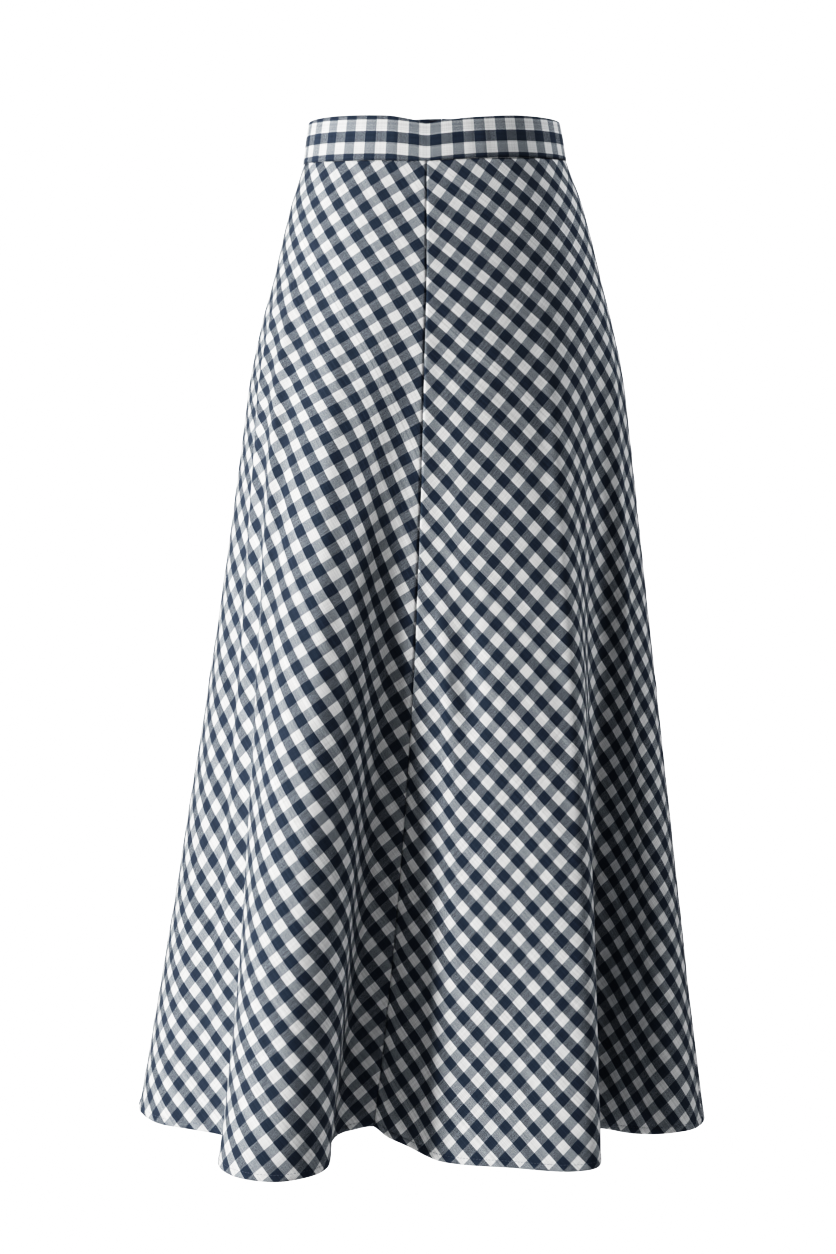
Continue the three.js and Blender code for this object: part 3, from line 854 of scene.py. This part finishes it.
def gingham():
    """Plain-woven gingham: every thread is white or navy, and the two systems pass over each other."""
    n = Nodes("gingham_cotton")
    place = n.add("ShaderNodeUVMap", uv_map="cloth").outputs["UV"]
    split = n.add("ShaderNodeSeparateXYZ")
    n.wire(place, split.inputs[0])
    systems = []
    for k in (0, 1):
        count = n.math("DIVIDE", split.outputs[k], THREAD * MM)
        index = n.math("FLOOR", count)
        inside = n.math("SUBTRACT", count, index)
        stripe = n.math("FRACT", n.math("DIVIDE", n.math("MULTIPLY", index, THREAD), CHECK))
        navy = n.math("GREATER_THAN", stripe, 0.5)
        own = n.add("ShaderNodeTexWhiteNoise", noise_dimensions="1D")
        n.wire(n.math("ADD", index, 0.37 + 500 * k), own.inputs["W"])
        round_top = n.math("SINE", n.math("MULTIPLY", inside, math.pi))
        systems.append({"index": index, "navy": navy, "own": own.outputs["Value"], "round": round_top})
    first, second = systems
    parity = n.math("FRACT", n.math("MULTIPLY", n.math("ADD", first["index"], second["index"]), 0.5))
    over = n.math("SUBTRACT", n.math("MULTIPLY", parity, 4.0), 1.0)
    rise_first = n.math("MULTIPLY", n.math("MULTIPLY", over, second["round"]), CROSSING_RISE)
    rise_second = n.math("MULTIPLY", n.math("MULTIPLY", over, first["round"]), -CROSSING_RISE)
    height_first = n.math("ADD", n.math("MULTIPLY", first["round"], CROWNS[0]), rise_first)
    height_second = n.math("ADD", n.math("MULTIPLY", second["round"], CROWNS[1]), rise_second)
    on_top = n.math("GREATER_THAN", height_first, height_second)
    height = n.math("MAXIMUM", height_first, height_second)
    colours = []
    for system in systems:
        colour = n.mix(system["navy"], WHITE_YARN, NAVY_YARN)
        shade = n.math("ADD", n.math("MULTIPLY", system["own"], SHADE_SPREAD), SHADE_LOW)
        scale = n.add("ShaderNodeVectorMath", operation="SCALE")
        n.wire(colour, scale.inputs[0])
        n.wire(shade, scale.inputs["Scale"])
        colours.append(scale.outputs[0])
    # painted shade: the squares where white and navy threads cross are darkened and tinted blue, standing
    # in for shade between the threads and light reflected off the navy
    mixed = n.math("ABSOLUTE", n.math("SUBTRACT", first["navy"], second["navy"]))
    plain = n.mix(on_top, colours[1], colours[0])
    crossing_shaded = n.add("ShaderNodeVectorMath", operation="MULTIPLY")
    n.wire(plain, crossing_shaded.inputs[0])
    n.wire(n.mix(mixed, (1, 1, 1, 1), CROSSING_PAINTED_SHADE), crossing_shaded.inputs[1])
    woven = crossing_shaded.outputs[0]
    body = n.add("ShaderNodeTexCoord").outputs["Object"]
    mottle = n.noise(body, 9.0, 3.0)
    soft = n.math("ADD", n.math("MULTIPLY", mottle, 0.12), 0.94)
    shaded = n.add("ShaderNodeVectorMath", operation="SCALE")
    n.wire(woven, shaded.inputs[0])
    n.wire(soft, shaded.inputs["Scale"])
    n.wire(shaded.outputs[0], n.shader.inputs["Base Color"])
    rough = n.math("ADD", n.math("MULTIPLY", height, -0.08), 0.93)
    n.wire(rough, n.shader.inputs["Roughness"])
    n.shader.inputs["Specular IOR Level"].default_value = 0.25
    n.shader.inputs["Sheen Weight"].default_value = 0.12
    n.shader.inputs["Sheen Roughness"].default_value = 0.5
    rumple = n.bump(n.noise(body, 85.0, 2.0), 0.0006, 0.35)
    n.wire(n.bump(height, 0.00006, 0.6, rumple), n.shader.inputs["Normal"])
    return n.material


def sewing_thread():
    """The hem's thread, flecked between two navy shades."""
    n = Nodes("sewing_thread")
    body = n.add("ShaderNodeTexCoord").outputs["Object"]
    fleck = n.noise(body, 900.0, 2.0)
    n.wire(n.mix(fleck, (0.10, 0.12, 0.17, 1), (0.20, 0.22, 0.27, 1)), n.shader.inputs["Base Color"])
    n.shader.inputs["Roughness"].default_value = 0.6
    n.shader.inputs["Sheen Weight"].default_value = 0.2
    n.wire(n.bump(n.noise(body, 2600.0, 1.0), 0.00005, 0.6), n.shader.inputs["Normal"])
    return n.material


def woven_tape():
    """The zip tape's fine twill-like weave."""
    n = Nodes("zip_tape_weave")
    place = n.add("ShaderNodeUVMap", uv_map="cloth").outputs["UV"]
    split = n.add("ShaderNodeSeparateXYZ")
    n.wire(place, split.inputs[0])
    ribs = n.math("SINE", n.math("MULTIPLY", split.outputs[0], 2 * math.pi / TAPE_RIB_STEP))
    picks = n.math("SINE", n.math("MULTIPLY", split.outputs[1], 2 * math.pi / TAPE_PICK_STEP))
    weave = n.math("MULTIPLY", ribs, picks)
    tone = n.math("ADD", n.math("MULTIPLY", weave, 0.25), 0.5)
    n.wire(n.mix(tone, (0.006, 0.010, 0.022, 1), (0.020, 0.030, 0.055, 1)), n.shader.inputs["Base Color"])
    n.shader.inputs["Roughness"].default_value = 0.75
    n.shader.inputs["Sheen Weight"].default_value = 0.2
    n.wire(n.bump(weave, 0.0001, 0.6), n.shader.inputs["Normal"])
    return n.material


def nylon():
    """The zip coil's slightly cloudy nylon."""
    n = Nodes("zip_nylon")
    body = n.add("ShaderNodeTexCoord").outputs["Object"]
    cloud = n.noise(body, 500.0, 2.0)
    n.wire(n.mix(cloud, (0.010, 0.016, 0.032, 1), (0.018, 0.027, 0.050, 1)), n.shader.inputs["Base Color"])
    n.shader.inputs["Roughness"].default_value = 0.35
    n.wire(n.bump(cloud, 0.00004, 0.4), n.shader.inputs["Normal"])
    return n.material


def enamel():
    """The slider's and the pull's satin navy enamel."""
    n = Nodes("zip_enamel")
    body = n.add("ShaderNodeTexCoord").outputs["Object"]
    cloud = n.noise(body, 350.0, 3.0)
    n.wire(n.mix(cloud, (0.012, 0.019, 0.040, 1), (0.022, 0.032, 0.060, 1)), n.shader.inputs["Base Color"])
    rough = n.math("ADD", n.math("MULTIPLY", cloud, 0.25), 0.22)
    n.wire(rough, n.shader.inputs["Roughness"])
    n.shader.inputs["Metallic"].default_value = 0.35
    n.shader.inputs["Coat Weight"].default_value = 0.4
    n.shader.inputs["Coat Roughness"].default_value = 0.2
    n.wire(n.bump(n.noise(body, 1400.0, 1.0), 0.00003, 0.3), n.shader.inputs["Normal"])
    return n.material


# ---- the skirt ----


def dress_skirt():
    cotton = gingham()
    for gore in GORES:
        piece = make_gore(gore, cotton)
        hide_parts(gore)
        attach(piece, "skirt")
    band = make_band(cotton)
    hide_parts("waistband")
    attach(band, "skirt")

    tape = make_zip_tape(woven_tape())
    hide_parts("zip_tape")
    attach(tape, "skirt")
    coil = make_zip_coil(nylon())
    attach(coil, "skirt")
    stitches = make_hem_stitches(sewing_thread())
    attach(stitches, "skirt")

    metal = enamel()
    slider = bevelled("zip_slider", "zip_slider_cast", 0.00022, metal)
    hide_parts("zip_slider")
    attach(slider, "skirt")
    pull = bevelled("zip_pull", "zip_pull_cast", 0.00018, metal)
    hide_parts("zip_pull")
    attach(pull, "pull")


# ---- floor, light and camera ----

FLOOR_HEIGHT = -1.35
FLOOR_RADIUS = 30
MIDDLE = Vector((0.0, 0.0, -0.47))
CAMERA_PLACE = (-0.0155, -2.8, -0.25)
CAMERA_DOWN = 4.52  # degrees
CAMERA_LENS = 85.78
AMBIENT = 0.14
FILM_WHITE = 2.0  # the light that comes out fully white
# the film's curve, light in and tone out: deep darks, and whites that are slow to burn out
FILM_CURVE = [
    (0.05, 0.010), (0.1, 0.037), (0.2, 0.130), (0.35, 0.325),
    (0.55, 0.560), (0.8, 0.755), (1.2, 0.920), (1.5, 0.975),
]


def make_floor():
    bpy.ops.mesh.primitive_circle_add(
        vertices=96, radius=FLOOR_RADIUS, fill_type="NGON", location=(0, 0, FLOOR_HEIGHT),
    )
    floor = bpy.context.object
    floor.name = "floor"
    n = Nodes("pale_floor")
    n.shader.inputs["Base Color"].default_value = (0.8, 0.8, 0.8, 1)
    n.shader.inputs["Roughness"].default_value = 0.9
    glow = n.add("ShaderNodeEmission")
    glow.inputs["Strength"].default_value = FILM_WHITE
    path = n.add("ShaderNodeLightPath")
    mixed = n.add("ShaderNodeMixShader")
    n.wire(path.outputs["Is Camera Ray"], mixed.inputs[0])
    n.wire(n.shader.outputs[0], mixed.inputs[1])
    n.wire(glow.outputs[0], mixed.inputs[2])
    n.wire(mixed.outputs[0], n.tree.nodes["Material Output"].inputs["Surface"])
    floor.data.materials.append(n.material)


def area_light(name, azimuth, elevation, distance, size, power, colour):
    """A soft box aimed at the skirt's middle; azimuth is degrees to the right of straight in front."""
    turn, rise = math.radians(azimuth), math.radians(elevation)
    way = Vector((math.sin(turn) * math.cos(rise), -math.cos(turn) * math.cos(rise), math.sin(rise)))
    light = bpy.data.lights.new(name, "AREA")
    light.shape = "RECTANGLE"
    light.size, light.size_y = size
    light.energy = power
    light.color = colour
    holder = bpy.data.objects.new(name, light)
    holder.location = MIDDLE + way * distance
    holder.rotation_euler = (-way).to_track_quat("-Z", "Y").to_euler()
    bpy.context.scene.collection.objects.link(holder)


def light_scene():
    world = bpy.data.worlds.new("white_surroundings")
    bpy.context.scene.world = world
    world.use_nodes = True
    tree = world.node_tree
    dim = tree.nodes["Background"]
    dim.inputs["Strength"].default_value = AMBIENT
    dim.inputs["Color"].default_value = (0.95, 0.97, 1.0, 1)
    bright = tree.nodes.new("ShaderNodeBackground")
    bright.inputs["Color"].default_value = (1, 1, 1, 1)
    bright.inputs["Strength"].default_value = FILM_WHITE
    path = tree.nodes.new("ShaderNodeLightPath")
    mixed = tree.nodes.new("ShaderNodeMixShader")
    tree.links.new(path.outputs["Is Camera Ray"], mixed.inputs[0])
    tree.links.new(dim.outputs[0], mixed.inputs[1])
    tree.links.new(bright.outputs[0], mixed.inputs[2])
    tree.links.new(mixed.outputs[0], tree.nodes["World Output"].inputs["Surface"])
    area_light("key", -62, 17, 3.2, (0.5, 0.9), 115, (1.0, 0.995, 0.985))
    area_light("right_fill", 92, 48, 2.2, (0.8, 0.8), 24, (0.97, 0.985, 1.0))


def make_camera():
    camera = bpy.data.cameras.new("camera")
    camera.sensor_width = 36
    camera.lens = CAMERA_LENS
    camera.clip_end = 100
    holder = bpy.data.objects.new("camera", camera)
    holder.location = CAMERA_PLACE
    holder.rotation_euler = (math.radians(90 - CAMERA_DOWN), 0, 0)
    bpy.context.scene.collection.objects.link(holder)
    bpy.context.scene.camera = holder


def set_film():
    """Plain colours with a little more contrast, as a catalogue photograph is developed."""
    view = bpy.context.scene.view_settings
    view.view_transform = "Standard"
    view.use_curve_mapping = True
    view.curve_mapping.white_level = (FILM_WHITE, FILM_WHITE, FILM_WHITE)
    curve = view.curve_mapping.curves[3]  # the one for all colours together
    for light, shown in FILM_CURVE:
        curve.points.new(light / FILM_WHITE, shown)
    view.curve_mapping.update()


make_camera()
dress_skirt()
make_floor()
light_scene()
set_film()
